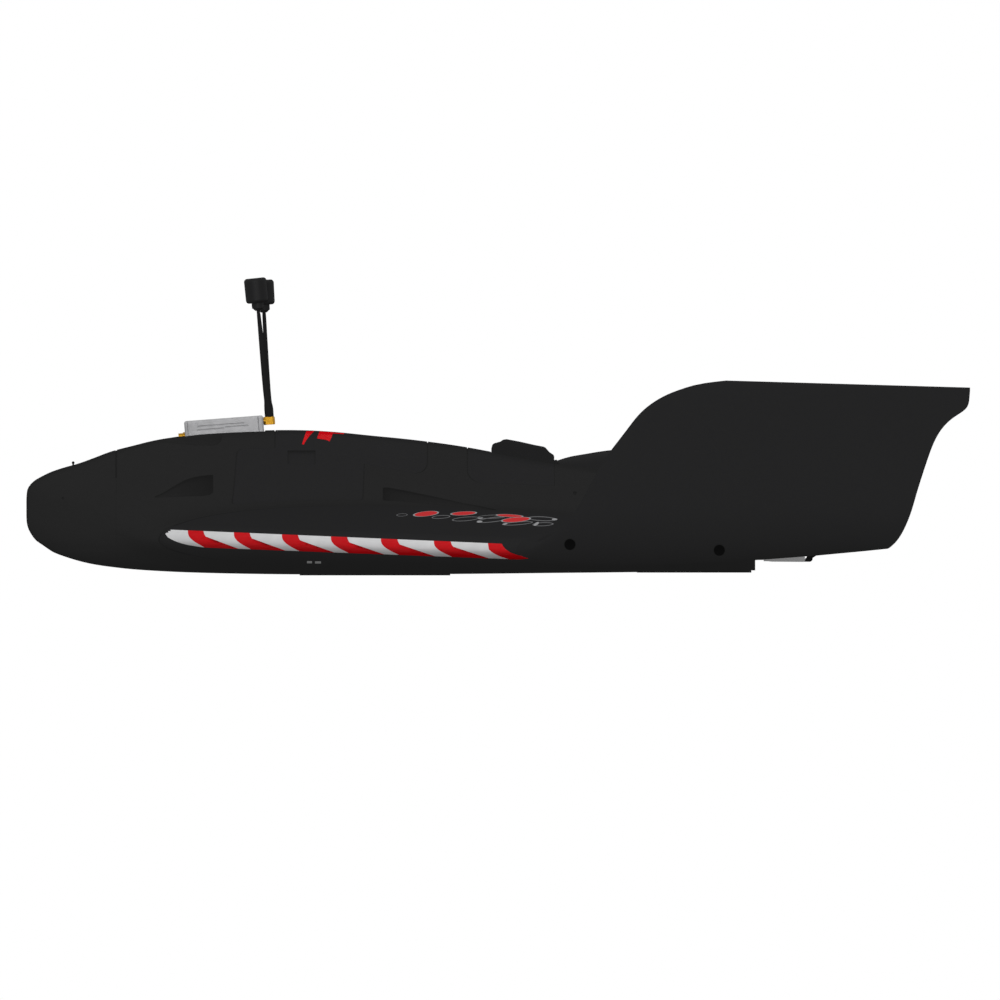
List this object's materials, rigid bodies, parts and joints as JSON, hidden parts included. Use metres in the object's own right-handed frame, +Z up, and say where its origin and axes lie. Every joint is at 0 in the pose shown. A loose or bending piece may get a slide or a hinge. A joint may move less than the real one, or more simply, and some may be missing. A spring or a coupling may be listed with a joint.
{
  "type": "radio controlled flying wing aeroplane",
  "caption": "Black foam flying wing with plug-in swept wings, upswept winglets, elevons, pusher propeller, deck hatches, nose camera and twin aerials.",
  "frame": {"origin": "centre plane of the aeroplane, on the flat lower face of the front belly skid, 193.7 mm behind the flat nose face", "axes": "+X aft, from nose to tail; +Y to starboard along the span; +Z up, away from the belly skid"},
  "size_m": [0.4901, 0.9972, 0.1544],
  "materials": {
    "foam_black": "matte, fine moulded bead texture",
    "skid_plastic": "smooth matte",
    "frame_plastic": "fine grain",
    "silver_case": "bead blasted",
    "gold_connector": "gold plated",
    "battery_wrap": "shrink wrap",
    "strap_fabric": "woven hook and loop",
    "plywood": "unfinished",
    "circuit": "solder mask",
    "motor_steel": "laminated",
    "motor_can": "anodised black",
    "screw_steel": "black oxide",
    "shaft_steel": "ground",
    "wire_rubber": "silicone",
    "carbon_tube": "wrapped carbon",
    "magnet": "nickel plated",
    "camera_plastic": "satin",
    "lens": "polished",
    "prop_nylon": "satin",
    "nut_aluminium": "turned",
    "antenna_plastic": "satin",
    "servo_case": "satin",
    "nylon_black": "moulded"
  },
  "bodies": {
    "airframe": {"fuselage_shell": "foam_black", "nose_cap": "foam_black", "camera_bracket": "frame_plastic", "vtx_case": "silver_case", "vtx_connectors": "gold_connector", "battery": "battery_wrap", "battery_strap": "strap_fabric", "equipment_tray": "plywood", "flight_controller": "circuit", "speed_controller": "circuit", "radio_receiver": "circuit", "motor_mount": "frame_plastic", "motor_stator": "motor_steel", "motor_mount_screws": "screw_steel", "motor_wires": "wire_rubber", "main_spar": "carbon_tube", "rear_spar": "carbon_tube", "fuselage_root_ribs": "frame_plastic", "wing_lock_nuts": "frame_plastic", "belly_skids": "skid_plastic", "bay_magnets": "magnet"},
    "main_hatch_lid": {"main_hatch": "foam_black", "main_hatch_magnets": "magnet"},
    "rear_hatch_lid": {"rear_hatch": "foam_black", "gps_cover": "frame_plastic", "gps_module": "circuit"},
    "camera": {"camera_body": "camera_plastic", "camera_lens": "lens"},
    "rotor": {"motor_bell": "motor_can", "prop_shaft": "shaft_steel", "propeller": "prop_nylon", "prop_nut": "nut_aluminium"},
    "antenna_left": {"antenna_head_left": "antenna_plastic", "antenna_stalk_left": "wire_rubber", "antenna_plug_left": "gold_connector"},
    "wing_left": {"wing_panel_left": "foam_black", "wing_root_rib_left": "frame_plastic", "hinge_leaves_wing_left": "nylon_black", "servo_left": "servo_case", "winglet_left": "foam_black", "winglet_screws_left": "screw_steel"},
    "elevon_flap_left": {"elevon_left": "foam_black", "hinge_leaves_elevon_left": "nylon_black", "control_horn_left": "nylon_black"},
    "servo_arm_body_left": {"servo_arm_left": "nylon_black"},
    "pushrod_body_left": {"pushrod_left": "shaft_steel"},
    "antenna_right": {"antenna_head_right": "antenna_plastic", "antenna_stalk_right": "wire_rubber", "antenna_plug_right": "gold_connector"},
    "wing_right": {"wing_panel_right": "foam_black", "wing_root_rib_right": "frame_plastic", "hinge_leaves_wing_right": "nylon_black", "servo_right": "servo_case", "winglet_right": "foam_black", "winglet_screws_right": "screw_steel"},
    "elevon_flap_right": {"elevon_right": "foam_black", "hinge_leaves_elevon_right": "nylon_black", "control_horn_right": "nylon_black"},
    "servo_arm_body_right": {"servo_arm_right": "nylon_black"},
    "pushrod_body_right": {"pushrod_right": "shaft_steel"}
  },
  "joints": [
    {"name": "main_hatch_lift", "type": "slide", "parent": "airframe", "child": "main_hatch_lid", "axis": [0, 0, 1], "range_m": [0, 0.06]},
    {"name": "rear_hatch_lift", "type": "slide", "parent": "airframe", "child": "rear_hatch_lid", "axis": [0, 0, 1], "range_m": [0, 0.05]},
    {"name": "camera_tilt", "type": "hinge", "parent": "airframe", "child": "camera", "pos_m": [-0.17, 0, 0.0345], "axis": [0, 1, 0], "range_deg": [-12, 12]},
    {"name": "rotor_spin", "type": "hinge", "parent": "airframe", "child": "rotor", "pos_m": [0.2, 0, 0.048], "axis": [1, 0, 0], "continuous": true},
    {"name": "antenna_left_swivel", "type": "hinge", "parent": "airframe", "child": "antenna_left", "pos_m": [-0.06962, -0.009, 0.08002], "axis": [0.9972, 0, 0.075], "range_deg": [0, 90]},
    {"name": "wing_left_plug", "type": "slide", "parent": "airframe", "child": "wing_left", "axis": [0, -1, 0], "range_m": [0, 0.215]},
    {"name": "elevon_left_hinge", "type": "hinge", "parent": "wing_left", "child": "elevon_flap_left", "pos_m": [0.205, -0.116, 0.01813], "axis": [-0.0238, 0.9997, -0.0008], "range_deg": [-25, 25]},
    {"name": "servo_left_shaft", "type": "hinge", "parent": "wing_left", "child": "servo_arm_body_left", "pos_m": [0.14502, -0.20148, 0.0187], "axis": [-0.0238, 0.9997, -0.0008], "range_deg": [-25.5, 25.5]},
    {"name": "pushrod_left_pin", "type": "hinge", "parent": "servo_arm_body_left", "child": "pushrod_body_left", "pos_m": [0.14592, -0.20146, 0.0091], "axis": [-0.0238, 0.9997, -0.0008], "range_deg": [-25.5, 25.5]},
    {"name": "antenna_right_swivel", "type": "hinge", "parent": "airframe", "child": "antenna_right", "pos_m": [-0.06888, 0.009, 0.08008], "axis": [0.9972, 0, 0.075], "range_deg": [-90, 0]},
    {"name": "wing_right_plug", "type": "slide", "parent": "airframe", "child": "wing_right", "axis": [0, 1, 0], "range_m": [0, 0.215]},
    {"name": "elevon_right_hinge", "type": "hinge", "parent": "wing_right", "child": "elevon_flap_right", "pos_m": [0.205, 0.116, 0.01813], "axis": [0.0238, 0.9997, 0.0008], "range_deg": [-25, 25]},
    {"name": "servo_right_shaft", "type": "hinge", "parent": "wing_right", "child": "servo_arm_body_right", "pos_m": [0.14502, 0.20148, 0.0187], "axis": [0.0238, 0.9997, 0.0008], "range_deg": [-25.5, 25.5]},
    {"name": "pushrod_right_pin", "type": "hinge", "parent": "servo_arm_body_right", "child": "pushrod_body_right", "pos_m": [0.14592, 0.20146, 0.0091], "axis": [0.0238, 0.9997, 0.0008], "range_deg": [-25.5, 25.5]}
  ],
  "couplings": [
    {"joint": "servo_left_shaft", "follows": "elevon_left_hinge", "ratio": 1},
    {"joint": "pushrod_left_pin", "follows": "elevon_left_hinge", "ratio": -1},
    {"joint": "servo_right_shaft", "follows": "elevon_right_hinge", "ratio": 1},
    {"joint": "pushrod_right_pin", "follows": "elevon_right_hinge", "ratio": -1}
  ]
}
